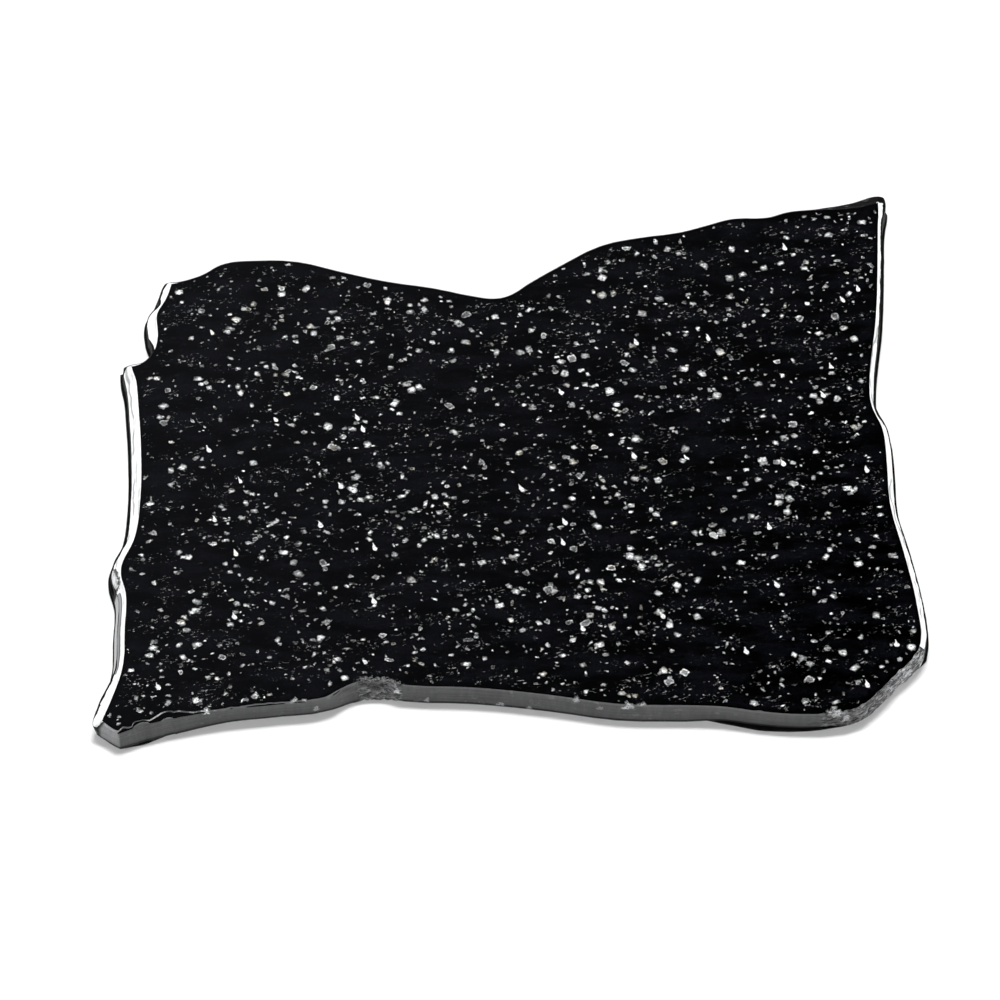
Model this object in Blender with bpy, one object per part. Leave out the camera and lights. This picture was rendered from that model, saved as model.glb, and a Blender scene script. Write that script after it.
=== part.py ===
"""Granite slab: an irregular offcut of polished black granite, glued to a thin rubber backing sheet.

Leather is laid on the polished face and stamped or punched with a mallet. The stone is the anvil. The
backing sheet supports it, deadens the blow and keeps it from sliding.

Metres, +Z up. The drawing's own origin is near the middle of the polished face's outline, and the empty
named slab_datum moves the drawing so that the world origin is the centre of the slab's box, on the
surface that the slab lies on. +X runs along the slab's length and +Y points to its back edge.
"""

from collections import namedtuple

import bmesh
import bpy
from mathutils import Matrix, Vector

MM = 0.001

# Driving dimensions.
STONE_THICKNESS = 10.0 * MM
BACKING_THICKNESS = 1.2 * MM
GLUE_FILM = 0.3 * MM
STEPS_BETWEEN_POINTS = 3
NORMAL_SMOOTHING_PASSES = 2

STONE_BOTTOM = BACKING_THICKNESS + GLUE_FILM
STONE_TOP = STONE_BOTTOM + STONE_THICKNESS

# How the edge of the slab falls away from the outline of the polished face, in millimetres: a bevel, given
# by its width in plan and its drop, then the plan width of the steep foot below it, and last how far the
# backing sheet stands out past the foot. A negative lip is a sheet that is set back under the stone.
Edge = namedtuple("Edge", "bevel_width bevel_drop foot_width lip")

BROAD_BEVEL = Edge(3.8, 3.8, 0.7, 1.0)
NIPPED_BEVEL = Edge(1.7, 1.7, 2.6, 1.0)
PINCHED_BEVEL = Edge(0.8, 0.8, 0.6, 0.9)
SPLIT_BEVEL = Edge(2.9, 2.8, 1.7, 0.4)
NARROW_BEVEL = Edge(1.7, 1.7, 0.5, 1.0)
FLARED_BEVEL = Edge(1.8, 1.8, 0.9, 0.8)
RIGHT_BEVEL = Edge(2.2, 2.2, 0.7, 0.9)
WIDE_RIGHT_BEVEL = Edge(2.6, 2.4, 0.7, 0.9)
SAWN_LEFT = Edge(0.3, 0.4, 0.5, -2.2)
CRUMBLY_PATCH = Edge(0.3, 0.4, 2.7, -3.0)
SAWN_MIDDLE = Edge(0.3, 0.4, 1.5, -2.6)
SAWN_RIGHT = Edge(0.3, 0.4, 0.5, 0.8)
SHEET_EMERGES = Edge(0.3, 0.4, 0.5, 0.6)
SHEET_STANDS_OUT = Edge(0.3, 0.4, 0.5, 1.5)
SAWN_TIP = Edge(0.3, 0.4, 2.0, 0.5)
SAWN_SPLAYED = Edge(0.3, 0.4, 1.6, -1.6)
TIP_BEVEL = Edge(4.6, 3.8, 0.3, 0.6)
TIP_SHOULDER = Edge(4.1, 3.4, -1.3, -0.6)
TIP_FACET = Edge(0.9, 0.8, 1.0, -0.6)
TIP_NOSE = Edge(0.4, 0.4, 1.5, -0.5)
BROKEN_START = Edge(0.8, 2.2, -0.6, 0.4)
BROKEN_CORNER = Edge(0.8, 2.2, 0.5, -0.8)
EASED_BACK = Edge(0.8, 1.0, 0.8, 1.0)
BACK_SLOPE = Edge(3.2, 1.5, 0.6, 0.9)
BACK_CORNER = Edge(4.4, 1.5, 0.4, 0.8)

# The outline of the polished face, anticlockwise from the front-left tip: the edge of each stretch and its
# points in millimetres. A smooth curve runs through the points, and turns sharply at SHARP_POINTS.
OUTLINE = [
    (TIP_FACET, [(-138, -91)]),
    (TIP_NOSE, [(-135, -93)]),
    (SAWN_TIP, [(-127, -90)]),
    (SAWN_SPLAYED, [(-113, -86.5)]),
    (SAWN_LEFT, [(-96, -83.5), (-78, -81.5), (-61, -79)]),
    (CRUMBLY_PATCH, [(-53, -74), (-44, -72.5)]),
    (SAWN_MIDDLE, [(-34, -74.5), (-10, -75.5), (18, -78.5), (42, -82), (66, -82.5)]),
    (SHEET_EMERGES, [(79, -83)]),
    (SHEET_STANDS_OUT, [(93, -85)]),
    (SAWN_RIGHT, [(108, -86)]),
    (BROKEN_START, [(119, -85.5)]),
    (BROKEN_CORNER, [(127, -83.5), (134, -78), (141, -70.5), (147.5, -64)]),
    (NARROW_BEVEL, [(150.3, -59)]),
    (WIDE_RIGHT_BEVEL, [(150, -44), (146, -21)]),
    (RIGHT_BEVEL, [(142, -2), (141.5, 18), (140.5, 30)]),
    (NARROW_BEVEL, [(137, 39), (136.5, 48), (138, 62), (140, 76), (142, 106), (142.5, 117)]),
    (FLARED_BEVEL, [(143, 123)]),
    (BACK_CORNER, [(143, 127.5)]),
    (BACK_SLOPE, [(134, 125)]),
    (EASED_BACK, [(118, 124), (109, 123), (101, 120.5), (88, 120), (78, 117), (68, 114), (52, 111.5)]),
    (EASED_BACK, [(38, 108), (24, 100), (11, 91.5), (4, 86.5), (-2, 85), (-10, 86), (-25, 89.5)]),
    (EASED_BACK, [(-43, 92.5), (-61, 97), (-76, 101), (-92, 101.5), (-104, 100)]),
    (EASED_BACK, [(-111, 95.5), (-119, 92.5)]),
    (BROAD_BEVEL, [(-123, 91.5), (-124.4, 86)]),
    (NIPPED_BEVEL, [(-126.1, 82.4)]),
    (BROAD_BEVEL, [(-128, 78.5), (-127.2, 70)]),
    (PINCHED_BEVEL, [(-128.5, 62), (-132, 57.5)]),
    (BROAD_BEVEL, [(-136.5, 56), (-134.5, 49), (-133, 37), (-131.5, 20), (-131, 0)]),
    (BROAD_BEVEL, [(-132.5, -16), (-137, -28)]),
    (SPLIT_BEVEL, [(-134.5, -39), (-134.5, -52), (-134.5, -67)]),
    (TIP_BEVEL, [(-138, -80)]),
    (TIP_SHOULDER, [(-141, -88.5)]),
    (TIP_FACET, [(-140, -89.3)]),
]
SHARP_POINTS = {(-141, -88.5), (-135, -93), (143, 127.5), (-123, 91.5), (-136.5, 56)}

# Conchoidal chips out of the edge, in millimetres: the outline point that they are nearest to, their
# length along the edge, their bite into it, their height, and the depth of their middle below the face.
Chip = namedtuple("Chip", "x y length bite height depth")

CHIPS = [
    Chip(-126, -89.8, 9.0, 1.6, 2.2, 0.2),
    Chip(-116, -87.3, 7.0, 1.2, 1.6, 0.2),
    Chip(-57, -76.5, 6.0, 0.7, 3.4, 1.2),
    Chip(-49, -73.2, 8.0, 1.0, 4.8, 1.8),
    Chip(-40, -73.1, 6.0, 0.8, 3.2, 1.3),
    Chip(113, -85.0, 6.0, 0.9, 3.0, 6.4),
    Chip(122, -82.8, 9.0, 1.3, 5.0, 3.6),
    Chip(131, -78.6, 8.0, 1.2, 4.6, 5.8),
    Chip(138, -72.6, 9.0, 1.4, 4.2, 2.6),
    Chip(145, -65.8, 7.0, 1.0, 4.4, 5.4),
    Chip(-137, -30.5, 13.0, 1.3, 5.0, 6.6),
    Chip(141, 107.0, 4.0, 0.7, 2.6, 3.0),
]
CHIP_ROUNDNESS = 2.6
CHIP_SEGMENTS = 14
CHIP_RINGS = 8


def clear_scene():
    for thing in list(bpy.data.objects):
        bpy.data.objects.remove(thing, do_unlink=True)


def new_collection(name):
    collection = bpy.data.collections.new(name)
    bpy.context.scene.collection.children.link(collection)
    return collection


def new_material(name, colour, roughness):
    material = bpy.data.materials.new(name)
    material.use_nodes = True
    shader = material.node_tree.nodes["Principled BSDF"]
    shader.inputs["Base Color"].default_value = (*colour, 1.0)
    shader.inputs["Roughness"].default_value = roughness
    shader.inputs["Metallic"].default_value = 0.0
    return material


def outline_curve():
    """The outline as a closed Bezier curve, with free handles at the sharp points only."""
    points = [point for _, stretch in OUTLINE for point in stretch]
    curve = bpy.data.curves.new("face_outline", "CURVE")
    curve.dimensions = "2D"
    curve.fill_mode = "NONE"
    curve.resolution_u = STEPS_BETWEEN_POINTS
    spline = curve.splines.new("BEZIER")
    spline.bezier_points.add(len(points) - 1)
    spline.use_cyclic_u = True
    for knot, point in zip(spline.bezier_points, points):
        knot.co = (point[0] * MM, point[1] * MM, 0.0)
        handle = "VECTOR" if point in SHARP_POINTS else "AUTO"
        knot.handle_left_type = handle
        knot.handle_right_type = handle
    return bpy.data.objects.new("face_outline", curve)


def outline_ring(collection):
    """The outline's points in order, and the curve that they were read from is removed again."""
    guide = outline_curve()
    collection.objects.link(guide)
    bpy.context.view_layer.update()
    mesh = bpy.data.meshes.new_from_object(guide.evaluated_get(bpy.context.evaluated_depsgraph_get()))
    ring = [vertex.co.to_2d() for vertex in mesh.vertices]
    bpy.data.meshes.remove(mesh)
    bpy.data.objects.remove(guide, do_unlink=True)
    return ring


def edges_round(ring):
    """The edge at each point of the ring, blended between the edges of the two nearest outline points."""
    given = [edge for edge, stretch in OUTLINE for _ in stretch]
    if len(ring) != len(given) * STEPS_BETWEEN_POINTS:
        raise ValueError("the outline curve has an unexpected number of points")
    blended = []
    for index in range(len(ring)):
        knot, step = divmod(index, STEPS_BETWEEN_POINTS)
        share = step / STEPS_BETWEEN_POINTS
        here = given[knot]
        there = given[(knot + 1) % len(given)]
        blended.append(Edge(*(a + (b - a) * share for a, b in zip(here, there))))
    return blended


def outward_normals(ring):
    """Unit vectors that point out of the ring, smoothed so that wide edges don't fold in hollows."""
    count = len(ring)
    normals = []
    for index in range(count):
        along = ring[(index + 1) % count] - ring[index - 1]
        normals.append(Vector((along.y, -along.x)).normalized())
    for _ in range(NORMAL_SMOOTHING_PASSES):
        normals = [
            (normals[index - 1] + 2 * normals[index] + normals[(index + 1) % count]).normalized()
            for index in range(count)
        ]
    return normals


def spread_at_depth(edge, depth):
    """How far the edge of the stone stands out from the face's outline at a depth below the face."""
    if depth <= edge.bevel_drop * MM:
        return edge.bevel_width * MM * depth / (edge.bevel_drop * MM)
    share = (depth - edge.bevel_drop * MM) / (STONE_THICKNESS - edge.bevel_drop * MM)
    return (edge.bevel_width + edge.foot_width * share) * MM


def stone_section(ring, normals, edges, depths):
    """The stone's section whose depth below the face may differ from point to point."""
    section = []
    for point, normal, edge, depth in zip(ring, normals, edges, depths):
        flat = point + normal * spread_at_depth(edge, depth)
        section.append(Vector((flat.x, flat.y, STONE_TOP - depth)))
    return section


def loft(name, sections):
    """A closed solid through sections with the same number of points, from the highest to the lowest."""
    shape = bmesh.new()
    loops = [[shape.verts.new(point) for point in section] for section in sections]
    shape.faces.new(loops[0])
    shape.faces.new(reversed(loops[-1]))
    for upper, lower in zip(loops, loops[1:]):
        for index in range(len(upper)):
            following = (index + 1) % len(upper)
            shape.faces.new((upper[index], lower[index], lower[following], upper[following]))
    bmesh.ops.recalc_face_normals(shape, faces=shape.faces)
    mesh = bpy.data.meshes.new(name)
    shape.to_mesh(mesh)
    shape.free()
    return bpy.data.objects.new(name, mesh)


def make_stone(ring, normals, edges):
    face = stone_section(ring, normals, edges, [0.0] * len(ring))
    bevel_foot = stone_section(ring, normals, edges, [edge.bevel_drop * MM for edge in edges])
    underside = stone_section(ring, normals, edges, [STONE_THICKNESS] * len(ring))
    stone = loft("granite_slab", [face, bevel_foot, underside])
    stone.data.materials.append(new_material("black_granite", (0.006, 0.006, 0.008), 0.18))
    return stone


def sheet_outline(ring, normals, edges):
    """The backing sheet's outline: the foot of the stone, let out or taken in by the lip."""
    outline = []
    for point, normal, edge in zip(ring, normals, edges):
        outline.append(point + normal * (edge.bevel_width + edge.foot_width + edge.lip) * MM)
    return outline


def make_backing(outline):
    """The backing sheet: a flat filled outline with straight sides."""
    curve = bpy.data.curves.new("backing_sheet", "CURVE")
    curve.dimensions = "2D"
    curve.fill_mode = "BOTH"
    curve.extrude = BACKING_THICKNESS / 2
    spline = curve.splines.new("POLY")
    spline.points.add(len(outline) - 1)
    spline.use_cyclic_u = True
    for knot, point in zip(spline.points, outline):
        knot.co = (point.x, point.y, 0.0, 1.0)
    sheet = bpy.data.objects.new("backing_sheet", curve)
    sheet.location.z = BACKING_THICKNESS / 2
    curve.materials.append(new_material("black_rubber", (0.012, 0.012, 0.012), 0.8))
    return sheet


def make_chip_cutter(chip, number, ring, normals, edges):
    """An ellipsoid that bites into the edge of the stone beside the outline point nearest to the chip."""
    place = Vector((chip.x, chip.y)) * MM
    nearest = min(range(len(ring)), key=lambda index: (ring[index] - place).length)
    normal = normals[nearest]
    depth = chip.depth * MM
    across = chip.bite * CHIP_ROUNDNESS * MM
    reach = spread_at_depth(edges[nearest], depth) + across - chip.bite * MM
    centre = ring[nearest] + normal * reach
    shape = bmesh.new()
    bmesh.ops.create_uvsphere(shape, u_segments=CHIP_SEGMENTS, v_segments=CHIP_RINGS, radius=1.0)
    size = Matrix.Diagonal((across, chip.length * MM / 2, chip.height * MM / 2, 1.0))
    turn = Vector((1.0, 0.0)).angle_signed(normal)
    bmesh.ops.transform(shape, matrix=Matrix.Rotation(-turn, 4, "Z") @ size, verts=shape.verts)
    mesh = bpy.data.meshes.new(f"chip_cutter_{number:02d}")
    shape.to_mesh(mesh)
    shape.free()
    cutter = bpy.data.objects.new(mesh.name, mesh)
    cutter.location = (centre.x, centre.y, STONE_TOP - depth)
    cutter.hide_render = True
    cutter.display_type = "WIRE"
    return cutter


def cut_chips(stone, cutters):
    bite = stone.modifiers.new("chips", "BOOLEAN")
    bite.operation = "DIFFERENCE"
    bite.operand_type = "COLLECTION"
    bite.collection = cutters
    bite.solver = "EXACT"


def main():
    clear_scene()
    slab = new_collection("granite_slab")
    cutters = new_collection("granite_slab_cutters")
    ring = outline_ring(slab)
    normals = outward_normals(ring)
    edges = edges_round(ring)

    stone = make_stone(ring, normals, edges)
    sheet_points = sheet_outline(ring, normals, edges)
    backing = make_backing(sheet_points)
    slab.objects.link(stone)
    slab.objects.link(backing)
    for number, chip in enumerate(CHIPS, start=1):
        cutters.objects.link(make_chip_cutter(chip, number, ring, normals, edges))
    cut_chips(stone, cutters)

    datum = bpy.data.objects.new("slab_datum", None)
    slab.objects.link(datum)
    reach = [*sheet_points, *(vertex.co for vertex in stone.data.vertices)]
    xs = [point.x for point in reach]
    ys = [point.y for point in reach]
    datum.location = (-(min(xs) + max(xs)) / 2, -(min(ys) + max(ys)) / 2, 0.0)
    for thing in [stone, backing, *cutters.objects]:
        thing.parent = datum


main()
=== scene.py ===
"""Looks of the granite slab: a polished black granite offcut with pale grains, glued to a thin rubber sheet.

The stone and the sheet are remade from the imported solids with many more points: the outlines are resampled
and smoothed, and the flanks are followed by rays, so every edge stays where the solid has it. Arrises are
eased, breaks are roughened and small chips are cut. All lengths are in metres unless a name says otherwise.
"""
import math

import bmesh
import bpy
import numpy as np
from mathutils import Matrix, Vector, noise
from mathutils.bvhtree import BVHTree
from mathutils.geometry import delaunay_2d_cdt
from mathutils.kdtree import KDTree


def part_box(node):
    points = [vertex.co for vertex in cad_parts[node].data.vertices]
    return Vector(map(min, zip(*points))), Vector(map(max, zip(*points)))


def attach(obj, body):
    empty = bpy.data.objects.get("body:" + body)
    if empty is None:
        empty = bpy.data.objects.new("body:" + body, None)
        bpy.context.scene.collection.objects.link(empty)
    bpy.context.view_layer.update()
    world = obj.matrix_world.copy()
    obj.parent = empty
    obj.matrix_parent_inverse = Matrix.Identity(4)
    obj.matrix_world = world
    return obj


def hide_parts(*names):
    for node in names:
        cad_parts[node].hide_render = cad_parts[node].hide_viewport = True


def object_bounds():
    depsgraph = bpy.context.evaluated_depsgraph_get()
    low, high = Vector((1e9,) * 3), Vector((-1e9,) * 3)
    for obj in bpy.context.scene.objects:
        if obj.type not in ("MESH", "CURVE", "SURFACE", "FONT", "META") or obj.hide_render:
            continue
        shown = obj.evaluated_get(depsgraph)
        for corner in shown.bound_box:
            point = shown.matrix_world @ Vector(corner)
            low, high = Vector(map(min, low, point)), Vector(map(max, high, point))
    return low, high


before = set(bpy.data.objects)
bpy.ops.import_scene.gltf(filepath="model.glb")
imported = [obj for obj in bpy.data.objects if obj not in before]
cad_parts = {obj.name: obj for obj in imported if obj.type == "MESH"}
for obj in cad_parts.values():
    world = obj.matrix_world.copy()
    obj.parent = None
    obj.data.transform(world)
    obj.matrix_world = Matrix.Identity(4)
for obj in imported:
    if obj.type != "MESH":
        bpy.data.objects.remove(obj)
cad_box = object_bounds()

MM = 0.001

STONE = "granite_slab"
SHEET = "backing_sheet"
STONE_LOW, STONE_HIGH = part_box(STONE)
SHEET_LOW, SHEET_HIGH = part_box(SHEET)
TOP = STONE_HIGH.z
THICKNESS = STONE_HIGH.z - STONE_LOW.z
CENTRE = (cad_box[0] + cad_box[1]) / 2
LENGTH = cad_box[1].x - cad_box[0].x
DEPTH = cad_box[1].y - cad_box[0].y

# Resampling of the outlines and of the flank. The levels are depths below the polished face in millimetres,
# at a fine step down to a depth and at a coarse one below it.
COLUMN_STEP = 0.5 * MM
SHEET_STEP = 1.0 * MM
FINE_LEVELS_TO = 4.2
FINE_LEVEL = 0.2
COARSE_LEVEL = 0.5
SHARP_TURN = math.radians(24)
# Rays that find the flank start this far inside the outline, and stay clear of the solid's bottom face.
RAY_INSET = 4.0 * MM
RAY_REACH = 16 * MM
RAY_CLEARANCE = 0.02 * MM
# How many times the outline, its normals and the flank's spread are smoothed.
OUTLINE_PASSES = 14
NORMAL_PASSES = 50
SPREAD_PASSES = 8
# A flank that goes out less than this for each unit down is a wall, and not a bevel.
WALL_SLOPE = 0.55
# What a point that is nowhere near a bevel or a spall has for its distance from them.
FAR = 9.0
STONE_SHARP_ANGLE = math.radians(28)
SHEET_SHARP_ANGLE = math.radians(40)

# Rows of points inside the face's outline, as how far in they lie in millimetres and which share of its points
# they take, and the step of the coarse net within them.
FACE_ROWS = ((0.5, 2), (1.1, 3), (1.8, 4), (2.6, 5), (4.0, 8))
NET_STEP = 6 * MM

# Shallow flakes off the top arris reach down to this row of the flank, and end on a flat ledge.
FLAKE_LEVEL = 3
LEDGE_DROP = 0.002 * MM
LEDGES_BELOW = 0.1 * MM

# Pale crystals that the front arris cuts through, in millimetres: how far along the slab, the depth of the
# middle below the polished face, half the length and half the height, and last how bright it is.
EDGE_CRYSTALS = (
    (41.2, 0.4, 1.2, 1.5, 0.9), (72.1, 0.0, 1.4, 0.6, 0.6), (75.7, 0.0, 1.1, 0.5, 0.6),
    (79.6, 6.4, 1.9, 1.8, 0.35),
    (108.3, 4.2, 1.6, 1.7, 0.8), (119.0, 8.0, 1.3, 1.5, 0.35), (145.3, 8.4, 2.1, 1.1, 0.4),
    (155.5, 8.8, 1.3, 1.0, 0.3), (172.2, 0.5, 1.5, 1.4, 0.5), (180.8, 3.2, 1.7, 1.3, 0.26),
    (191.0, 1.0, 2.6, 1.7, 0.62), (195.6, -0.3, 2.2, 0.8, 0.4), (262.8, -1.2, 1.6, 1.4, 0.5),
    (264.6, 0.8, 2.2, 1.6, 0.6), (268.1, 4.8, 2.0, 2.0, 0.6), (266.2, 2.8, 1.2, 1.2, 0.45),
)

# A stretch of the left edge whose flank was cut again, as shares of the slab's depth from the front, and the
# width of the cut in millimetres.
RECUT = (0.112, 0.255)
RECUT_WIDTH = 1.2
# Where a break turns paler towards the right end, in millimetres along X.
PALE_BREAK = (120.0, 146.0)
# A shallow spall on the left bevel: its middle and half its length as shares of the depth, and its width in
# millimetres.
SPALL = (0.281, 0.017, 2.5)


# ---------------------------------------------------------------------------------------------- outlines

def outline_of(node, level):
    """The longest closed boundary of a node's flat face at a height, anticlockwise, as an array of x, y."""
    shape = bmesh.new()
    shape.from_mesh(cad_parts[node].data)
    bmesh.ops.remove_doubles(shape, verts=shape.verts, dist=1e-6)
    flat = {f for f in shape.faces if all(abs(v.co.z - level) < 1e-6 for v in f.verts)}
    rims = [e for e in shape.edges if sum(f in flat for f in e.link_faces) == 1]
    links = {}
    for edge in rims:
        a, b = edge.verts
        links.setdefault(a, []).append(b)
        links.setdefault(b, []).append(a)
    loops = []
    unused = set(links)
    while unused:
        start = min(unused, key=lambda v: v.index)
        loop = [start]
        unused.discard(start)
        while True:
            following = [v for v in links[loop[-1]] if v in unused]
            if not following:
                break
            loop.append(following[0])
            unused.discard(following[0])
        loops.append(np.array([(v.co.x, v.co.y) for v in loop]))
    shape.free()
    longest = max(loops, key=perimeter)
    x, y = longest.T
    area = 0.5 * np.sum(x * np.roll(y, -1) - np.roll(x, -1) * y)
    return longest if area > 0 else longest[::-1]


def perimeter(points):
    """The length of the closed outline."""
    return np.linalg.norm(np.roll(points, -1, 0) - points, axis=1).sum()


def resampled(points, step):
    """The closed outline with points at an even step, and how firmly each is held when it is smoothed."""
    ahead = np.roll(points, -1, 0) - points
    behind = points - np.roll(points, 1, 0)
    turn = np.arctan2(
        behind[:, 0] * ahead[:, 1] - behind[:, 1] * ahead[:, 0], (behind * ahead).sum(1)
    )
    lengths = np.linalg.norm(ahead, axis=1)
    places = np.concatenate([[0], np.cumsum(lengths)])
    count = int(round(places[-1] / step))
    at = np.arange(count) * places[-1] / count
    closed = np.vstack([points, points[:1]])
    even = np.stack([np.interp(at, places, closed[:, axis]) for axis in (0, 1)], 1)
    held = np.zeros(count)
    for index in np.nonzero(np.abs(turn) > SHARP_TURN)[0]:
        gap = np.abs((at - places[index] + places[-1] / 2) % places[-1] - places[-1] / 2)
        held = np.maximum(held, np.clip(1.6 - gap / step, 0, 1))
        even[np.argmin(gap)] = points[index]
    return even, held


def smoothed(values, passes, held=None):
    """Rows of a closed series, each moved towards the mean of its neighbours, many times over."""
    for _ in range(passes):
        mean = (np.roll(values, 1, 0) + 2 * values + np.roll(values, -1, 0)) / 4
        values = mean if held is None else mean + (values - mean) * held[:, None]
    return values


def outward(points, passes):
    """The outline's normals, which point away from the slab."""
    along = np.roll(points, -1, 0) - np.roll(points, 1, 0)
    normals = np.stack([along[:, 1], -along[:, 0]], 1)
    normals /= np.linalg.norm(normals, axis=1)[:, None]
    normals = smoothed(normals, passes)
    return normals / np.linalg.norm(normals, axis=1)[:, None]


def fractal(x, y, z, octaves=4):
    """Seedless fractal noise, about -1 to 1, at a point given in cells."""
    return noise.fractal(Vector((x, y, z)), 0.6, 2.0, octaves)


# ------------------------------------------------------------------------------------------------- stone

def flank_spread(points, normals, depths):
    """How far the solid stands out from each outline point at each depth below the polished face."""
    shape = bmesh.new()
    shape.from_mesh(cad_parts[STONE].data)
    bmesh.ops.remove_doubles(shape, verts=shape.verts, dist=1e-6)
    tree = BVHTree.FromBMesh(shape)
    shape.free()
    spread = np.zeros((len(depths), len(points)))
    for column, (point, normal) in enumerate(zip(points, normals)):
        inside = point - normal * RAY_INSET
        way = Vector((normal[0], normal[1], 0.0))
        for level, depth in enumerate(depths):
            if level == 0:
                continue
            height = TOP - min(depth, THICKNESS - RAY_CLEARANCE)
            place, _, _, reach = tree.ray_cast(Vector((inside[0], inside[1], height)), way, RAY_REACH)
            spread[level, column] = spread[level - 1, column] if place is None else reach - RAY_INSET
    return spread


def band(value, low, high, soft):
    """1 between low and high, fading to 0 over soft outside them."""
    rise = np.clip((value - low) / soft + 1, 0, 1)
    fall = np.clip((high - value) / soft + 1, 0, 1)
    return np.minimum(rise, fall)


def share_along(points):
    """Each point's place in the slab's box, from 0 at its left to 1 at its right."""
    return (points[:, 0] - cad_box[0].x) / LENGTH


def flaked_width(columns):
    """How far shallow flakes off the top arris reach in from it, in millimetres, at each column."""
    width = np.zeros(len(columns["arc"]))
    for column, a in enumerate(columns["arc"]):
        run = noise.fractal(Vector((a * 0.055, 2.0, 5.0)), 0.7, 2.2, 3)
        fine = noise.fractal(Vector((a * 0.35, 8.0, 1.0)), 0.7, 2.0, 3)
        steps = math.floor(max(0.0, 2.6 * run + 1.3) / 0.6) * 0.55
        nick = max(0.0, noise.noise(Vector((a * 0.16, 4.0, 7.0))) - 0.38) * 2.2
        width[column] = (
            columns["flaky"][column] * min(steps, 2.3)
            + columns["crumbly"][column] * 0.7 * max(0.0, fine)
            + columns["broken"][column] * (0.15 + 0.9 * max(0.0, fine))
            + min(nick, 0.7) * columns["front"][column]
            + 0.05 * (1 + fine)
        )
    return smoothed(width[:, None], 2)[:, 0]


def push_in(x, y, z, a, rough):
    """How far breakage moves a point inwards, in millimetres: z is its depth, a its place along the edge."""
    if rough <= 0:
        return 0.02 * (1 + fractal(x * 0.8, y * 0.8, z * 3.0, 3)) * min(1.0, z)
    layers = Vector((a * 0.09, z * 0.85 + 0.06 * a, 4.0))
    layered = noise.ridged_multi_fractal(layers, 0.9, 2.1, 3, 0.9, 2.0)
    lumps = fractal(x * 0.34, y * 0.34, z * 0.45 + 20, 4)
    crumbs = fractal(x * 0.9, y * 0.9, z * 0.9 + 40, 2)
    return rough * (0.22 * (layered - 0.8) + 0.36 * lumps + 0.16 * crumbs) * min(1.0, z / 0.8)


def flank_columns(points, normals, depths, spread):
    """What the flank is like at each outline point: mostly shares from 0 to 1 of a kind of edge."""
    place = share_along(points)
    from_front = (points[:, 1] - cad_box[0].y) / DEPTH
    across, forwards = normals[:, 0], -normals[:, 1]
    facing = np.clip((forwards - 0.15) / 0.3, 0, 1)
    columns = {
        "arc": np.arange(len(points)) * COLUMN_STEP / MM,
        "slope": np.gradient(spread, depths, axis=0),
        "spread": spread / MM,
        "front": np.clip((forwards - 0.42) / 0.2, 0, 1),
        "broken": band(place, 0.872, 1.02, 0.012) * facing,
        "crumbly": facing * np.maximum(
            band(place, 0.318, 0.364, 0.008), 0.3 * band(place, 0.29, 0.318, 0.01)
        ),
        "flaky": facing * (band(place, 0.04, 0.145, 0.01) + 0.3 * band(place, 0.155, 0.29, 0.01)),
        # The tip's facet, which the raw stone paints brighter as painted light.
        "facet": band(place, -1.0, 0.0335, 0.002) * (forwards > 0.1),
        # How wide a bevel's dark outer edge is: a thin strip all round, widened by painted shade where the
        # bevel faces back, most at the back right.
        "dark_edge_and_back_shade": (
            0.12 + 1.0 * np.clip((0.03 - forwards) / 0.4, 0, 1)
            + 3.0 * np.clip((-forwards - 0.5) / 0.2, 0, 1) * (place > 0.5)
            + 0.45 * (place > 0.5) * np.clip((from_front - 0.70) / 0.05, 0, 1)
        ),
        "recut": band(from_front, *RECUT, 0.004) * (across < -0.4),
        "from_front": from_front,
        "leftward": across < -0.4,
    }
    wide = columns["spread"][np.searchsorted(depths, 1.4 * MM)] > 1.0
    tip = (from_front < 0.03) & (forwards > 0.3)
    columns["sideways"] = (
        (np.abs(across) > 0.4) & wide & (columns["broken"] < 0.5) & (columns["flaky"] < 0.5) & ~tip
    )
    columns["flaked"] = flaked_width(columns)
    return columns


def make_stone():
    """The stone's rows of points from the top arris down, their depths, and what the columns are like."""
    points, held = resampled(outline_of(STONE, TOP), COLUMN_STEP)
    points = smoothed(points, OUTLINE_PASSES, held)
    normals = outward(points, NORMAL_PASSES)
    fine = np.arange(0, FINE_LEVELS_TO, FINE_LEVEL)
    coarse = np.arange(FINE_LEVELS_TO, THICKNESS / MM - 0.1, COARSE_LEVEL)
    depths = np.concatenate([fine, coarse, [THICKNESS / MM]]) * MM
    depths[FLAKE_LEVEL + 1] = depths[FLAKE_LEVEL] + LEDGE_DROP
    spread = smoothed(flank_spread(points, normals, depths).T, SPREAD_PASSES).T
    spread[0] = 0
    columns = flank_columns(points, normals, depths, spread)
    rough = np.maximum(columns["broken"], columns["crumbly"])
    grid = np.zeros((len(depths), len(points), 3))
    for level, depth in enumerate(depths):
        z = depth / MM
        for column, (x, y) in enumerate(points / MM):
            inwards = push_in(x, y, z, columns["arc"][column], rough[column])
            if level <= FLAKE_LEVEL:
                inwards = max(inwards, columns["flaked"][column])
            away = spread[level, column] - inwards * MM
            grid[level, column, :2] = points[column] + normals[column] * away
            grid[level, column, 2] = TOP - depth
    return grid, depths, columns


def crystal_at(places, depths_mm):
    """How bright the pale crystals cut by the front arris are at each place and depth below the face."""
    along = (places[:, 0] - cad_box[0].x) / MM
    bend = np.array([
        [fractal(a * 0.7, d * 0.7, plane, 3) for plane in (3.0, 9.0)] for a, d in zip(along, depths_mm)
    ])
    bright = np.zeros(len(places))
    for at, depth, half_length, half_height, shine in EDGE_CRYSTALS:
        down = (depths_mm - depth) / half_height + 0.5 * bend[:, 1]
        across = (along - at) / half_length / (0.7 + 0.3 * np.clip(down, -1, 1)) + 0.5 * bend[:, 0]
        cover = np.clip((1.0 - np.maximum(np.abs(across + 0.3 * down), np.abs(down))) / 0.25, 0, 1)
        bright = np.maximum(bright, cover * shine)
    return bright * (places[:, 1] < CENTRE.y)


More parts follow.
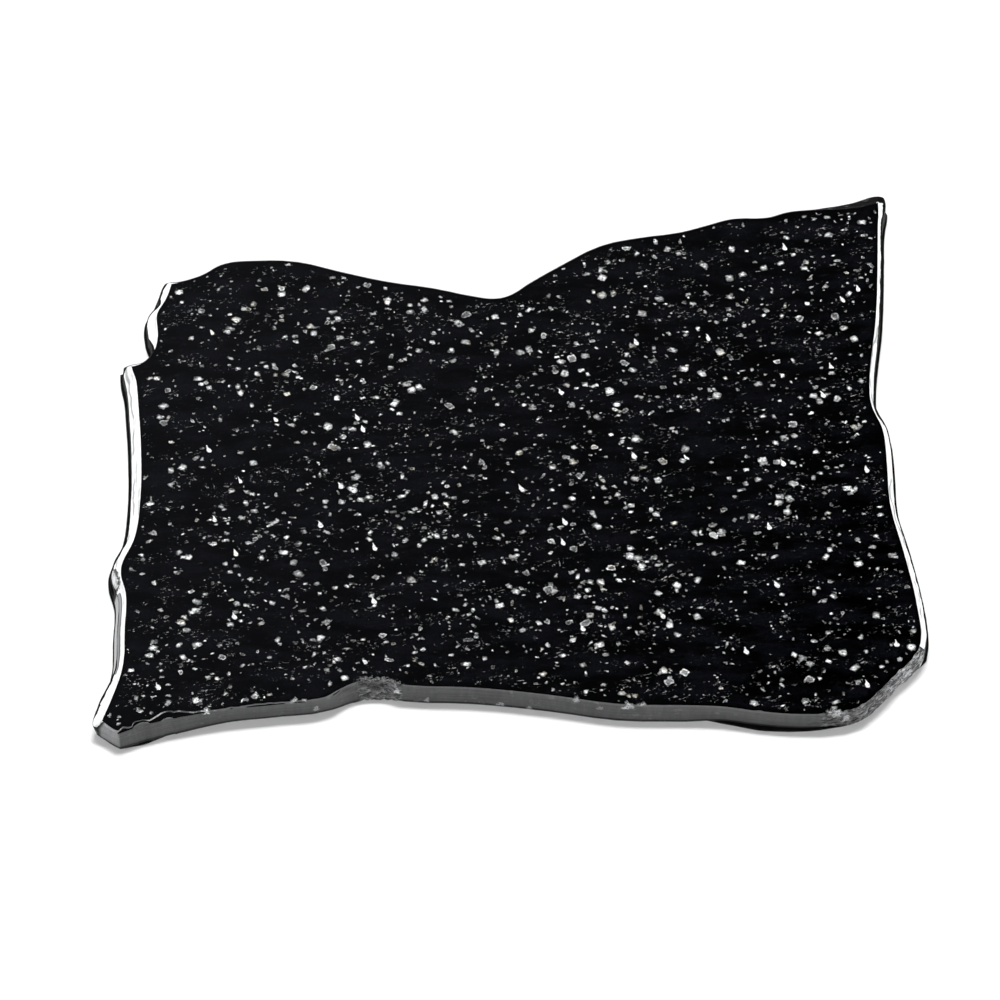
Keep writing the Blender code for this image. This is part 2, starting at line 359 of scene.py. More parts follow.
def bevel_outer(columns):
    """How far in each point of the flank lies from the outer edge of the bevel, in millimetres."""
    spread, slope = columns["spread"], columns["slope"]
    foot = np.argmax(slope[1:] < WALL_SLOPE, axis=0) + 1
    width = spread[foot, np.arange(spread.shape[1])]
    return width[None, :] - spread


def spall_at(columns, outer):
    """How far each point of the flank is from the middle of the spall, 1 being its rim."""
    middle, half, width = SPALL
    away = np.hypot((columns["from_front"] - middle) / half, outer / width)
    return np.where(columns["leftward"], away, FAR)


def flank_material(columns, level, column):
    """The number of the material of a face of the flank: 0 polished, 1 bevel painted pale as a reflection or 2
    raw stone.
    """
    if level == FLAKE_LEVEL and columns["flaked"][column] > 0.3 and columns["flaky"][column] > 0.2:
        return 0
    slope = columns["slope"]
    steep = slope[level, column] < WALL_SLOPE and slope[level + 1, column] < WALL_SLOPE + 0.2
    return 1 if columns["sideways"][column] and not steep else 2


def stone_mesh():
    """The stone, with a material number for each face and the attributes that its materials read."""
    grid, depths, columns = make_stone()
    levels, count = grid.shape[:2]
    vertices = [tuple(v) for v in grid.reshape(-1, 3)]
    faces, materials = [], []
    for level in range(levels - 1):
        for column in range(count):
            a, b = level * count + column, level * count + (column + 1) % count
            faces.append((a, a + count, b + count, b))
            materials.append(flank_material(columns, level, column))
    outline = grid[0, :, :2]
    top_faces, top_points = fill_face(outline)
    on_flank = levels * count
    vertices += [(x, y, TOP) for x, y in top_points[count:]]
    for face in top_faces:
        faces.append(tuple(i if i < count else i + on_flank - count for i in face))
        materials.append(0)
    faces.append(tuple(reversed(range(on_flank - count, on_flank))))
    materials.append(2)
    mesh = bpy.data.meshes.new("polished_stone")
    mesh.from_pydata(vertices, [], faces)
    mesh.polygons.foreach_set("material_index", materials)

    margin = np.zeros(len(vertices))
    reach, beside = nearest_on(outline, top_points[count:])
    margin[on_flank:] = reach / MM
    set_attribute(mesh, "margin_mm", margin)
    for name in ("broken", "crumbly", "front", "flaky", "recut", "facet", "dark_edge_and_back_shade"):
        values = np.concatenate([np.tile(columns[name], levels), columns[name][beside]])
        set_attribute(mesh, name, values)
    outer = bevel_outer(columns)
    on_face = np.full(len(vertices) - on_flank, FAR)
    set_attribute(mesh, "outer_mm", np.concatenate([outer.ravel(), on_face]))
    set_attribute(mesh, "spall", np.concatenate([spall_at(columns, outer).ravel(), on_face]))
    below = np.concatenate([np.repeat(depths / MM, count), -margin[on_flank:]])
    set_attribute(mesh, "crystal", crystal_at(np.array(vertices)[:, :2], below))
    mesh.validate()
    mesh.set_sharp_from_angle(angle=STONE_SHARP_ANGLE)
    # The ledges of the flakes are flat, or they would mirror the lamps in streaks.
    for polygon in mesh.polygons:
        if polygon.material_index == 0 and polygon.center.z < TOP - LEDGES_BELOW:
            polygon.use_smooth = False
    return mesh


def set_attribute(mesh, name, values):
    """Keep one number for each vertex under a name that the materials read."""
    attribute = mesh.attributes.new(name, "FLOAT", "POINT")
    attribute.data.foreach_set("value", np.asarray(values, np.float32))


def nearest_on(outline, places):
    """The distance from each place to the outline, and the number of the outline's point nearest to it."""
    tree = KDTree(len(outline))
    for index, (x, y) in enumerate(outline):
        tree.insert((x, y, 0), index)
    tree.balance()
    found = [tree.find((x, y, 0)) for x, y in places]
    return np.array([f[2] for f in found]), np.array([f[1] for f in found])


def fill_face(outline):
    """Triangles that fill the outline, with rows of points near its edge and a coarse net within them."""
    scale = 1 / MM
    normals = outward(outline, 6)
    inner = []
    for inset, every in FACE_ROWS:
        row = (outline - normals * inset * MM)[::every]
        clear = nearest_on(outline, row)[0] > 0.92 * inset * MM
        inner.append(row[clear])
    xs = np.arange(outline[:, 0].min(), outline[:, 0].max(), NET_STEP)
    ys = np.arange(outline[:, 1].min(), outline[:, 1].max(), NET_STEP)
    net = np.array([(x + (row % 2) * NET_STEP / 2, y) for row, y in enumerate(ys) for x in xs])
    net = net[inside_of(outline, net)]
    inner.append(net[nearest_on(outline, net)[0] > NET_STEP])
    places = np.vstack([outline, *inner])
    rim = list(range(len(outline)))
    found = delaunay_2d_cdt([Vector(p * scale) for p in places], [], [rim], 1, 1e-6, True)
    vertices, triangles, originals = found[0], found[2], found[3]
    if len(vertices) != len(places):
        raise ValueError(f"filling the face changed its points: {len(places)} to {len(vertices)}")
    names = np.array([ids[0] for ids in originals])
    triangles = names[np.array(triangles)]
    triangles = triangles[inside_of(outline, places[triangles].mean(1))]
    return [tuple(int(i) for i in triangle) for triangle in triangles], places


def inside_of(outline, places):
    """Which of the places lie inside the outline."""
    x, y = outline.T
    following_x, following_y = np.roll(x, -1), np.roll(y, -1)
    inside = np.zeros(len(places), bool)
    for index, (px, py) in enumerate(places):
        crossing = (y > py) != (following_y > py)
        with np.errstate(divide="ignore", invalid="ignore"):
            at = (following_x - x) * (py - y) / (following_y - y) + x
        inside[index] = np.count_nonzero(crossing & (px < at)) % 2
    return inside


# ------------------------------------------------------------------------------------------------- sheet

# The sheet's black edge is shaped to show where the slab casts its darkest contact shade; there it stands in
# for that shade as well as for rubber.
def sheet_mesh():
    """The sheet, with slightly rounded and wandering edges."""
    points, held = resampled(outline_of(SHEET, SHEET_LOW.z), SHEET_STEP)
    points = smoothed(points, 4, held)
    normals = outward(points, 8)
    thickness = SHEET_HIGH.z - SHEET_LOW.z
    # Each row is how far it stands out, in millimetres, and its height as a share of the sheet's thickness.
    section = [
        (-0.16, 0.0), (-0.04, 0.04), (0.0, 0.16), (-0.02, 0.5), (0.0, 0.84), (-0.04, 0.96), (-0.16, 1.0),
    ]
    vertices = []
    for out_mm, share in section:
        for (x, y), (nx, ny) in zip(points, normals):
            wander = 0.05 * (fractal(x / MM * 0.3, y / MM * 0.3, 1.0, 3) - 1)
            away = (out_mm + wander) * MM
            vertices.append((x + nx * away, y + ny * away, SHEET_LOW.z + thickness * share))
    count = len(points)
    faces = [tuple(reversed(range(count)))]
    for level in range(len(section) - 1):
        for column in range(count):
            after = (column + 1) % count
            a, b = level * count + column, level * count + after
            faces.append((a, b, b + count, a + count))
    faces.append(tuple(range((len(section) - 1) * count, len(section) * count)))
    mesh = bpy.data.meshes.new("rubber_sheet")
    mesh.from_pydata(vertices, [], faces)
    mesh.validate()
    mesh.set_sharp_from_angle(angle=SHEET_SHARP_ANGLE)
    return mesh


# --------------------------------------------------------------------------------------------- materials

# The middle part of a noise texture's range, where nearly all of it lies.
NOISE_RANGE = (0.3, 0.7)


class Tree:
    """Adds nodes to a tree. Values may be numbers or sockets, and methods mostly return a socket."""

    def __init__(self, tree):
        self.tree = tree

    def node(self, kind, inputs=(), **settings):
        """The new node itself."""
        node = self.tree.nodes.new(kind)
        for name, value in settings.items():
            setattr(node, name, value)
        for name, value in dict(inputs).items():
            self.feed(node.inputs[name], value)
        return node

    def feed(self, socket, value):
        if isinstance(value, bpy.types.NodeSocket):
            self.tree.links.new(value, socket)
        else:
            socket.default_value = value

    def math(self, operation, *values):
        node = self.node("ShaderNodeMath", operation=operation)
        for socket, value in zip(node.inputs, values):
            self.feed(socket, value)
        return node.outputs[0]

    def plus(self, a, b):
        return self.math("ADD", a, b)

    def minus(self, a, b):
        return self.math("SUBTRACT", a, b)

    def times(self, product, *others):
        for other in others:
            product = self.math("MULTIPLY", product, other)
        return product

    def over(self, a, b):
        return self.math("DIVIDE", a, b)

    def larger(self, a, b):
        return self.math("MAXIMUM", a, b)

    def absolute(self, value):
        return self.math("ABSOLUTE", value)

    def between(self, share, a, b):
        """a where share is 0 and b where it is 1."""
        return self.plus(self.times(a, self.minus(1.0, share)), self.times(b, share))

    def vector(self, operation, a, b=None):
        node = self.node("ShaderNodeVectorMath", operation=operation)
        self.feed(node.inputs[0], a)
        if b is not None:
            self.feed(node.inputs["Scale"] if operation == "SCALE" else node.inputs[1], b)
        return node.outputs["Value" if operation in ("LENGTH", "DOT_PRODUCT") else "Vector"]

    def stretched(self, at, *scale):
        """Places multiplied by a scale for each axis, so a pattern is drawn out where it is small."""
        return self.vector("MULTIPLY", at, scale)

    def parts(self, vector):
        """The outputs for x, y and z."""
        return self.node("ShaderNodeSeparateXYZ", {"Vector": vector}).outputs

    def channels(self, colour):
        """The outputs for red, green and blue."""
        return self.node("ShaderNodeSeparateColor", {"Color": colour}).outputs

    def ramp(self, value, low, high, to_low=0.0, to_high=1.0, smooth=True):
        """value taken from the range low..high to the range to_low..to_high, and held at its ends."""
        return self.node(
            "ShaderNodeMapRange",
            {"Value": value, "From Min": low, "From Max": high, "To Min": to_low, "To Max": to_high},
            interpolation_type="SMOOTHSTEP" if smooth else "LINEAR",
        ).outputs["Result"]

    def line(self, value, level, inner, outer, on=1.0, off=0.0):
        """on where value is within inner of a level, and off where it is further than outer from it."""
        return self.ramp(self.absolute(self.minus(value, level)), inner, outer, on, off)

    def noise(self, at, scale, detail=3.0, roughness=0.5, distortion=0.0, output="Fac"):
        return self.node(
            "ShaderNodeTexNoise",
            {
                "Vector": at, "Scale": scale, "Detail": detail, "Roughness": roughness,
                "Distortion": distortion,
            },
        ).outputs[output]

    def clouds(self, at, scale, low, high, detail=3.0, roughness=0.5):
        """Noise that fills the range low..high."""
        return self.ramp(self.noise(at, scale, detail, roughness), *NOISE_RANGE, low, high)

    def wander(self, at, scale, reach, roughness):
        """A vector of noise about zero, to move places by up to about half of reach."""
        colour = self.noise(at, scale, 2.0, roughness, output="Color")
        return self.vector("SCALE", self.vector("SUBTRACT", colour, (0.5, 0.5, 0.5)), reach)

    def cells(self, at, scale):
        """The outputs of a pattern of random cells."""
        return self.node("ShaderNodeTexVoronoi", {"Vector": at, "Scale": scale, "Randomness": 1.0}).outputs

    def dice(self, at):
        """The outputs of a random number and a random colour for each place."""
        return self.node("ShaderNodeTexWhiteNoise", {"Vector": at}, noise_dimensions="3D").outputs

    def mix(self, share, a, b, kind="MIX"):
        """Two colours blended."""
        node = self.node("ShaderNodeMix", data_type="RGBA", blend_type=kind, clamp_factor=True)
        for index, value in ((0, share), (6, a), (7, b)):
            self.feed(node.inputs[index], value)
        return node.outputs[2]

    def attribute(self, name):
        return self.node("ShaderNodeAttribute", attribute_name=name).outputs["Fac"]


def in_millimetres(t, turn_deg=0.0, stretch=(1, 1, 1)):
    """Places on the object in millimetres, divided by stretch and then turned about +Z."""
    at = t.node("ShaderNodeTexCoord").outputs["Object"]
    mapping = t.node("ShaderNodeMapping", {"Vector": at}, vector_type="POINT")
    mapping.inputs["Rotation"].default_value = (0, 0, math.radians(turn_deg))
    mapping.inputs["Scale"].default_value = [1000 / s for s in stretch]
    return mapping.outputs["Vector"]


# Families of mineral grains. Lengths are in millimetres: spacing between the places for a grain, size of the
# largest from its middle, and warp, how far its outline wanders. share is how many of the places hold a
# grain, least is the size of the smallest as a share of size, and bright is how dim and how bright they are.
GRAIN_FAMILIES = (
    dict(spacing=4.3, size=1.70, share=0.62, least=0.55, aspect=(1.0, 1.55, 1.2),
         warp=0.60, warp_scale=1.0, bright=(0.42, 0.96), seed=3.0),
    dict(spacing=3.2, size=1.20, share=0.46, least=0.45, aspect=(0.8, 1.9, 1.25),
         warp=0.50, warp_scale=1.4, bright=(0.38, 0.96), seed=17.0),
    dict(spacing=2.3, size=0.80, share=0.27, least=0.45, aspect=(0.65, 2.2, 1.2),
         warp=0.40, warp_scale=2.2, bright=(0.38, 0.96), seed=31.0),
)
# Grains of less than half a millimetre, which lie in drifts between the larger ones.
CRUMBS = dict(spacing=1.25, size=0.48, share=0.20, least=0.5, aspect=(0.8, 1.5, 1.1),
              warp=0.3, warp_scale=2.4, bright=(0.42, 1.0), seed=53.0)
# Bright slivers that lean much the same way, thicker at one end.
SLIVERS = dict(spacing=8.5, share=0.075, lean=math.radians(92), length=1.6, width=0.95, seed=71.0)
GRAIN_SOFTNESS = 0.07
# All the grains lie a little aslant, and are drawn out along the slab.
GRAIN_TURN_DEG = -10
GRAIN_STRETCH = (1.25, 1.0, 1.0)


def shifted(t, at, seed):
    """Places moved by a seed, so that two patterns don't repeat each other."""
    return t.vector("ADD", at, (seed, seed * 2, seed * 3))


def grains_of(t, at, family, crowd):
    """One family's cover (0 or 1), how bright its grains are, how near the closest one is, and a tint number.

    A grain is a block with rounded corners. Most are brightest in the middle, the others are hollow with a
    bright rim, and all of them are dimmer at one end.
    """
    shift = shifted(t, at, family["seed"])
    bent = t.vector("ADD", shift, t.wander(shift, family["warp_scale"], family["warp"] * 2, 0.7))
    own = t.cells(bent, 1 / family["spacing"])["Position"]
    dice = t.dice(own)
    draws = t.channels(t.dice(t.vector("ADD", own, (7.1, 3.3, 1.7)))["Color"])
    turn = t.vector("SCALE", dice["Color"], 2 * math.pi)
    turned = t.node(
        "ShaderNodeVectorRotate", {"Vector": t.vector("SUBTRACT", bent, own), "Rotation": turn},
        rotation_type="EULER_XYZ",
    ).outputs["Vector"]
    sized = t.vector("MULTIPLY", turned, family["aspect"])
    sides = t.parts(t.vector("ABSOLUTE", sized))
    block = t.larger(t.larger(sides["X"], sides["Y"]), sides["Z"])
    away = t.plus(t.times(block, 0.7), t.times(t.vector("LENGTH", sized), 0.36))
    radius = t.ramp(draws[0], 0, 1, family["least"] * family["size"], family["size"], smooth=False)
    present = t.math("LESS_THAN", dice["Value"], t.times(crowd(own), family["share"]))
    gap = t.minus(radius, away)
    here = t.times(t.ramp(gap, -GRAIN_SOFTNESS, GRAIN_SOFTNESS), present)
    near = t.times(t.ramp(gap, -0.9, 0.0), present)
    shade = t.ramp(draws[1], 0, 1, *family["bright"], smooth=False)
    inwards = t.over(gap, radius)
    hollow = t.ramp(draws[2], 0.80, 0.84)
    cored = t.ramp(inwards, 0.0, 0.55, 0.33, 1.33)
    rimmed = t.ramp(inwards, 0.14, 0.36, 1.05, 0.30)
    one_end = t.ramp(t.over(t.parts(turned)["X"], radius), -0.9, 0.4, 0.40, 1.0)
    return here, t.times(shade, t.between(hollow, cored, rimmed), one_end), near, draws[2]


def slivers_of(t, at):
    """The cover of the slivers, and how near the closest one is."""
    shift = shifted(t, at, SLIVERS["seed"])
    own = t.cells(shift, 1 / SLIVERS["spacing"])["Position"]
    draw = t.dice(own)["Value"]
    lean = t.plus(t.times(draw, 3.0), SLIVERS["lean"])
    offset = t.vector("ADD", t.vector("SUBTRACT", shift, own), t.wander(shift, 0.9, 0.9, 0.6))
    turned = t.node(
        "ShaderNodeVectorRotate", {"Vector": offset, "Angle": t.times(lean, -1.0)}, rotation_type="Z_AXIS",
    ).outputs["Vector"]
    parts = t.parts(turned)
    along = t.over(parts["X"], SLIVERS["length"])
    half = t.ramp(along, -1.0, 0.8, SLIVERS["width"], 0.25)
    ends = t.math("SQRT", t.larger(t.minus(1.0, t.times(along, along)), 0.0))
    gap = t.minus(t.times(half, ends), t.absolute(parts["Y"]))
    present = t.math("LESS_THAN", draw, SLIVERS["share"])
    return t.times(t.ramp(gap, 0.0, 0.12), present), t.times(t.ramp(gap, -0.8, 0.0), present)


def grain_group():
    """A node group that gives the pattern of pale grains: their cover, brightness, halo and tint number."""
    group = bpy.data.node_groups.new("granite_grains", "ShaderNodeTree")
    for name in ("Cover", "Bright", "Halo", "Tint"):
        group.interface.new_socket(name, in_out="OUTPUT", socket_type="NodeSocketFloat")
    out = group.nodes.new("NodeGroupOutput")
    t = Tree(group)
    at = in_millimetres(t, GRAIN_TURN_DEG, GRAIN_STRETCH)

    def crowd(place):
        return t.ramp(t.noise(t.stretched(place, 0.022, 0.055, 0.055), 1.0, 2.0, 0.55), 0.34, 0.62, 0.25, 1.0)

    def drift(place, full=0.66):
        return t.ramp(t.noise(t.stretched(place, 0.10, 0.20, 0.2), 1.0, 3.0, 0.6), 0.50, full)

    cover, bright, halo = 0.0, 0.0, 0.0
    for family in (CRUMBS, *GRAIN_FAMILIES):
        here, shade, near, tint = grains_of(t, at, family, drift if family is CRUMBS else crowd)
        bright = t.between(here, bright, shade)
        cover = t.larger(cover, here)
        if family is not CRUMBS:
            halo = t.larger(halo, near)
    fleck = t.noise(t.stretched(at, 0.8, 1.4, 1.0), 1.5, 3.0, 0.75)
    facet = t.channels(t.cells(at, 1.25)["Color"])[0]
    inside = t.times(t.ramp(fleck, 0.42, 0.56, 0.42, 1.15, smooth=False), t.ramp(facet, 0.0, 0.6, 0.40, 1.1))
    bright = t.times(bright, inside)
    here, near = slivers_of(t, at)
    bright = t.larger(bright, t.times(here, t.ramp(fleck, 0.40, 0.52, 0.5, 1.0)))
    cover = t.larger(cover, here)
    halo = t.larger(halo, near)

    wisp = t.line(t.noise(t.stretched(at, 0.4, 1.0, 0.8), 0.7, 2.0, 0.6, 0.7), 0.5, 0.006, 0.022)
    broken = t.ramp(t.noise(at, 0.8, 2.0, 0.7), 0.52, 0.66, 0.0, 0.45)
    wisp = t.times(wisp, drift(at, 0.62), broken)
    smear = t.ramp(t.noise(t.stretched(at, 0.3, 0.8, 0.6), 1.0, 5.0, 0.75), 0.58, 0.78, 0.0, 0.10)
    smear = t.times(smear, t.ramp(halo, 0.0, 0.6, 0.15, 1.0))
    total = t.larger(bright, t.plus(wisp, smear))
    for name, value in (("Cover", cover), ("Bright", total), ("Halo", halo), ("Tint", tint)):
        group.links.new(value, out.inputs[name])
    return group


def new_material(name, **uniform):
    """A node material, its tree helper and its Principled node, with values that are the same all over."""
    material = bpy.data.materials.new(name)
    material.use_nodes = True
    shader = material.node_tree.nodes["Principled BSDF"]
    for socket, value in uniform.items():
        shader.inputs[socket.replace("_", " ")].default_value = value
    return material, Tree(material.node_tree), shader


def grey(t, value, tint=(1.0, 1.0, 1.0)):
    """A grey of that brightness, tinted, as a colour socket."""
    combined = t.node("ShaderNodeCombineColor")
    for socket, share in zip(combined.inputs, tint):
        t.feed(socket, t.times(value, share))
    return combined.outputs["Color"]


def bump(t, shader, height, strength, distance):
    node = t.node("ShaderNodeBump", {"Height": height, "Strength": strength, "Distance": distance})
    t.feed(shader.inputs["Normal"], node.outputs["Normal"])


def polished_granite(grains):
    """The polished face: black, with grains that stop short of the arris, and eaten away to raw crumbs."""
    material, t, shader = new_material("polished_granite", IOR=1.5, Metallic=0.0)
    pattern = t.node("ShaderNodeGroup", node_tree=grains).outputs
    at = in_millimetres(t)
    margin = t.attribute("margin_mm")
    clear = t.ramp(t.minus(margin, t.clouds(at, 0.45, 0.7, 2.6)), -0.15, 0.15)
    chips = t.ramp(t.noise(at, 1.5, 3.0, 0.7), 0.42, 0.52, 0.12, 1.0)
    crystal = t.times(t.attribute("crystal"), chips)
    bright = t.larger(t.times(pattern["Bright"], clear), crystal)
    cover = t.larger(t.times(pattern["Cover"], clear), t.ramp(crystal, 0.05, 0.2))

    mottle = t.noise(t.stretched(at, 0.05, 0.16, 0.1), 1.0, 4.0, 0.6)
    grain = t.clouds(t.stretched(at, 0.9, 2.4, 2.0), 1.0, 0.4, 1.6, 3.0, 0.7)
    base = t.times(t.ramp(mottle, 0.38, 0.68, 0.1, 3.0), grain)
    halo = t.ramp(pattern["Halo"], 0, 0.8, 1.0, 0.1)
    # Painted shade: the black is darker towards the outline of the face.
    rim = t.ramp(margin, 0.0, 2.2, 0.25, 1.0)
    dark = grey(t, t.times(base, halo, t.times(rim, 0.0010)), (0.88, 0.94, 1.4))
    warm = t.ramp(pattern["Tint"], 0.86, 0.95)
    pale = t.mix(warm, grey(t, bright, (0.98, 1.0, 1.0)), grey(t, bright, (1.0, 0.96, 0.84)))
    faint = grey(t, t.times(bright, t.minus(1.0, cover)))
    lit = t.mix(1.0, t.mix(cover, dark, pale), faint, "ADD")

    eaten = t.times(t.attribute("crumbly"), t.ramp(margin, 0.1, 2.6, 1.0, 0.0, smooth=False))
    ragged = t.ramp(t.plus(eaten, t.clouds(at, 0.8, -0.55, 0.45, 4.0, 0.7)), 0.62, 0.7)
    eaten = t.times(t.ramp(eaten, 0.0, 0.1), ragged)
    crumb = t.ramp(t.noise(at, 1.3, 3.0, 0.7), 0.40, 0.60, 0.01, 0.15)
    t.feed(shader.inputs["Base Color"], t.mix(eaten, lit, grey(t, crumb)))
    polish = t.clouds(at, 0.35, 0.018, 0.032)
    t.feed(shader.inputs["Roughness"], t.larger(polish, t.times(eaten, 0.7)))
    waves = t.plus(t.noise(at, 0.12, 2.0), t.times(pattern["Cover"], 0.05))
    bump(t, shader, waves, 0.25, 0.00004)
    return material


def bevel_painted_reflection(grains):
    """The bevels: pale as a painted reflection of the bright room, with a seam, a re-cut stretch, a spall and
    a dark edge.
    """
    material, t, shader = new_material("bevel_painted_reflection", IOR=1.5, Metallic=0.0)
    pattern = t.node("ShaderNodeGroup", node_tree=grains).outputs
    at = in_millimetres(t)
    outer = t.attribute("outer_mm")
    # The pale tone is painted reflection: polished black stone here would only mirror the bright room.
    tone = t.times(t.clouds(at, 0.35, 0.62, 0.78, 4.0, 0.6), t.clouds(at, 3.2, 0.9, 1.05, 2.0, 0.7))
    tone = t.plus(tone, t.times(pattern["Cover"], 0.06))
    streak = t.ramp(t.noise(t.stretched(at, 1.4, 0.08, 0.8), 1.0, 3.0, 0.6), 0.56, 0.68, 1.0, 0.62)
    seam = t.line(outer, t.plus(1.25, t.clouds(at, 0.12, -0.5, 0.5, 1.0)), 0.05, 0.55)
    seam = t.times(seam, t.ramp(t.noise(at, 0.05, 2.0), 0.46, 0.56))
    tone = t.times(tone, streak, t.ramp(seam, 0, 1, 1.0, 0.4))

    recut = t.ramp(t.attribute("recut"), 0.4, 0.6)
    worn = t.clouds(t.stretched(at, 1.2, 0.1, 0.8), 1.0, 0.11, 0.22)
    cut = t.times(recut, t.ramp(outer, RECUT_WIDTH - 0.1, RECUT_WIDTH + 0.1, 1.0, 0.0))
    step = t.times(recut, t.line(outer, RECUT_WIDTH, 0.1, 0.3))
    tone = t.times(t.between(cut, tone, worn), t.ramp(step, 0, 1, 1.0, 0.15))

    spall = t.plus(t.attribute("spall"), t.clouds(at, 0.9, -0.12, 0.12))
    scoop = t.ramp(t.noise(t.stretched(at, 1.0, 0.3, 1.0), 0.6, 3.0, 0.6), 0.35, 0.65, 0.14, 0.6)
    tone = t.between(t.ramp(spall, 0.85, 1.0, 1.0, 0.0), tone, scoop)
    tone = t.times(tone, t.line(spall, 1.0, 0.07, 0.2, 0.04, 1.0))

    # The dark outer edge, widened into painted shade on bevels that face away from the lamps.
    dark_edge_and_back_shade = t.times(t.clouds(at, 0.22, 0.7, 1.3, 4.0, 0.6), t.attribute("dark_edge_and_back_shade"))
    # ground is the pale part of the bevel, painted as a reflection, outside its dark edge.
    ground = t.ramp(t.minus(outer, dark_edge_and_back_shade), -0.08, 0.12)
    tone = t.times(tone, t.ramp(ground, 0, 1, 0.006, 1.0))
    t.feed(shader.inputs["Base Color"], grey(t, tone, (0.985, 0.995, 1.0)))
    rough = t.plus(t.clouds(at, 1.3, 0.28, 0.42), t.ramp(ground, 0, 1, 0.5, 0.0))
    t.feed(shader.inputs["Roughness"], rough)
    t.feed(shader.inputs["Specular IOR Level"], t.ramp(ground, 0, 1, 0.04, 0.5))
    bump(t, shader, t.noise(at, 4.0, 3.0, 0.7), 0.4, 0.00003)
    return material


def raw_granite(grains):
    """The sawn and broken sides, with saw marks along them and paler, rougher breaks, and with painted light
    and shade.
    """
    material, t, shader = new_material("raw_granite", IOR=1.45, Metallic=0.0)
    pattern = t.node("ShaderNodeGroup", node_tree=grains).outputs
    at = in_millimetres(t)
    place = t.parts(at)
    depth = t.minus(TOP / MM, place["Z"])
    front = t.attribute("front")
    speck = t.noise(at, 2.4, 3.0, 0.7)
    saw = t.noise(t.stretched(at, 0.03, 0.03, 2.2), 1.0, 4.0, 0.6)
    upright = t.noise(t.stretched(at, 0.35, 0.35, 0.02), 1.0, 3.0, 0.7)
    sawn = t.times(
        t.ramp(saw, *NOISE_RANGE, 0.8, 1.2), t.ramp(upright, 0.25, 0.75, 0.85, 1.15),
        t.ramp(speck, *NOISE_RANGE, 0.8, 1.2),
    )
    # Painted shade: the wall is darker towards the bottom and nearly black in its lowest millimetre, a painted
    # contact shadow.
    foot = t.times(t.ramp(depth, 0.5, 8.5, 1.08, 0.84), t.ramp(depth, 8.3, 9.2, 1.0, 0.08))
    # Painted shade: sides that face away from the front get a far darker tone than the front; painted light:
    # the tip's facet is 2.6 times brighter.
    level = t.times(t.ramp(front, 0.1, 0.9, 0.004, 0.085), t.ramp(t.attribute("facet"), 0, 1, 1.0, 2.6))
    sawn = t.times(sawn, foot, level)
    # A painted highlight: a pale line along the top arris of the front wall.
    sawn = t.plus(sawn, t.times(t.ramp(depth, 0.25, 1.0, 0.06, 0.0), front))
    sawn = t.plus(sawn, t.times(pattern["Bright"], t.ramp(front, 0.1, 0.9, 0.13, 0.06)))
    cut = t.times(t.attribute("recut"), t.ramp(depth, 8.6, 9.4, 1.0, 0.0))
    sawn = t.larger(sawn, t.times(cut, t.ramp(speck, *NOISE_RANGE, 0.2, 0.42)))

    bent = t.vector("ADD", at, t.vector("SCALE", t.noise(at, 0.9, 2.0, 0.6, output="Color"), 1.6))
    facet = t.channels(t.cells(bent, 0.55)["Color"])[0]
    ragged = t.ramp(t.noise(t.stretched(at, 0.35, 0.35, 0.9), 1.0, 4.0, 0.6), 0.34, 0.66, 0.03, 0.26)
    crack = t.noise(t.stretched(at, 0.20, 0.20, 0.6), 1.0, 4.0, 0.65, 0.6)
    rock = t.times(
        ragged, t.ramp(facet, 0, 1, 0.5, 1.4), t.line(crack, 0.5, 0.006, 0.04, 0.06, 1.0),
        t.ramp(place["X"], *PALE_BREAK, 1.0, 1.8),
    )
    torn = t.larger(t.attribute("broken"), t.attribute("crumbly"))
    torn = t.ramp(t.plus(torn, t.ramp(speck, 0.2, 0.8, -0.3, 0.3)), 0.4, 0.6)
    tone = t.between(torn, sawn, rock)
    # A painted glint: thin pale lines on the walls of the flakes off the top arris.
    painted_flake_glint = t.times(t.ramp(depth, 0.55, 0.75, 1.0, 0.0), t.ramp(t.attribute("flaky"), 0.3, 0.7))
    painted_flake_glint = t.times(painted_flake_glint, t.ramp(t.noise(at, 0.3, 4.0, 0.7), 0.44, 0.60, 0.0, 0.6))
    crystal = t.times(t.attribute("crystal"), t.ramp(speck, 0.40, 0.54, 0.25, 1.05))
    tone = t.larger(t.larger(tone, crystal), painted_flake_glint)
    t.feed(shader.inputs["Base Color"], grey(t, tone, (0.98, 0.99, 1.0)))
    t.feed(shader.inputs["Roughness"], t.ramp(speck, *NOISE_RANGE, 0.5, 0.75))
    t.feed(shader.inputs["Specular IOR Level"], t.ramp(front, 0.1, 0.9, 0.08, 0.35))
    bump(t, shader, t.plus(t.noise(at, 2.0, 3.0, 0.6), t.times(saw, 0.6)), 0.6, 0.00012)
    return material


# Its black shows as a dark line under the slab, partly standing in for painted contact shade.
def rubber_sheet():
    """Black rubber with a pebbled surface, dusty, and scuffed grey along its lowest edge."""
    material, t, shader = new_material("rubber_sheet", IOR=1.5, Metallic=0.0, Specular_IOR_Level=0.08)
    at = in_millimetres(t)
    scuffed = t.ramp(t.parts(at)["Z"], 0.02, 0.12, 5.0, 1.0)
    cloud = t.times(t.clouds(at, 0.2, 0.003, 0.007, 4.0, 0.6), scuffed)
    dust = t.times(t.ramp(t.noise(at, 1.6, 5.0, 0.75), 0.62, 0.8, 0.0, 0.008), scuffed)
    t.feed(shader.inputs["Base Color"], grey(t, t.plus(cloud, dust), (1.0, 1.0, 1.03)))
    t.feed(shader.inputs["Roughness"], t.clouds(at, 0.8, 0.72, 0.92))
    pebble = t.node(
        "ShaderNodeTexVoronoi", {"Vector": at, "Scale": 1.1, "Randomness": 0.85}, feature="SMOOTH_F1",
    ).outputs["Distance"]
    bump(t, shader, t.plus(pebble, t.times(t.noise(at, 4.0, 2.0), 0.3)), 0.5, 0.0002)
    return material


